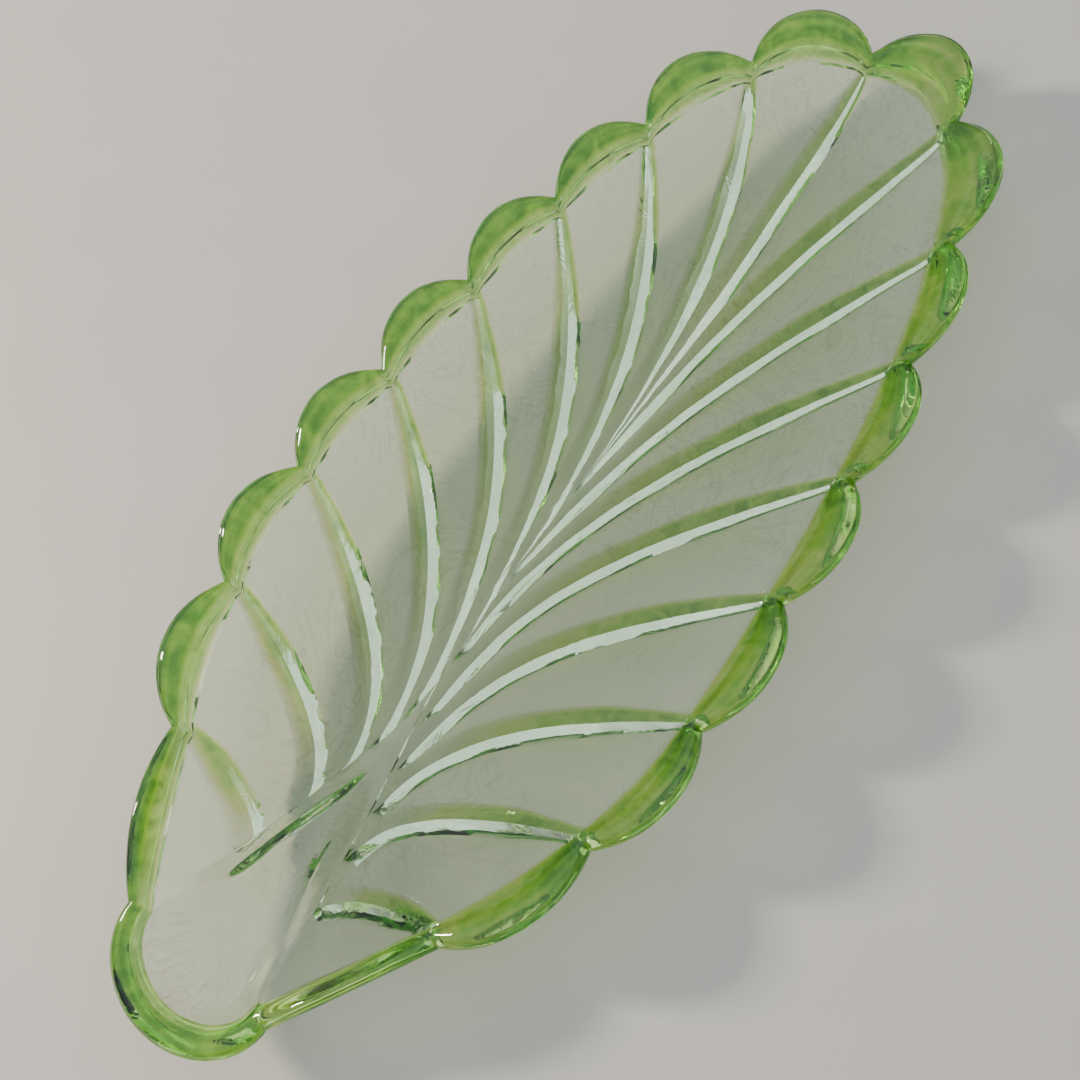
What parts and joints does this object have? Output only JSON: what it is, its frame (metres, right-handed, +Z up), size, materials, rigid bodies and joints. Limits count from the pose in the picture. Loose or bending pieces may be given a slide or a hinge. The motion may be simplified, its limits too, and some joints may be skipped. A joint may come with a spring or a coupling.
{
  "type": "leaf dish",
  "caption": "Shallow pressed glass dish shaped like a leaf, with rounded lobes round its rim, curved veins under the bowl, and a flat stem to hold it by.",
  "frame": {"origin": "centre of the box round the dish in plan, at the bottom of its base pad", "axes": "+X from the stem end to the tip, +Y to the left seen from the stem, +Z up out of the bowl"},
  "size_m": [0.2871, 0.1252, 0.0243],
  "materials": {
    "green_glass": "gloss"
  },
  "bodies": {
    "root": {"stem": "green_glass", "lobe_left_1": "green_glass", "lobe_left_2": "green_glass", "lobe_left_3": "green_glass", "lobe_left_4": "green_glass", "lobe_left_5": "green_glass", "lobe_left_6": "green_glass", "lobe_left_7": "green_glass", "lobe_left_8": "green_glass", "lobe_left_9": "green_glass", "lobe_right_1": "green_glass", "lobe_right_2": "green_glass", "lobe_right_3": "green_glass", "lobe_right_4": "green_glass", "lobe_right_5": "green_glass", "lobe_right_6": "green_glass", "lobe_right_7": "green_glass", "lobe_right_8": "green_glass", "lobe_right_9": "green_glass", "base_pad": "green_glass"}
  },
  "joints": []
}
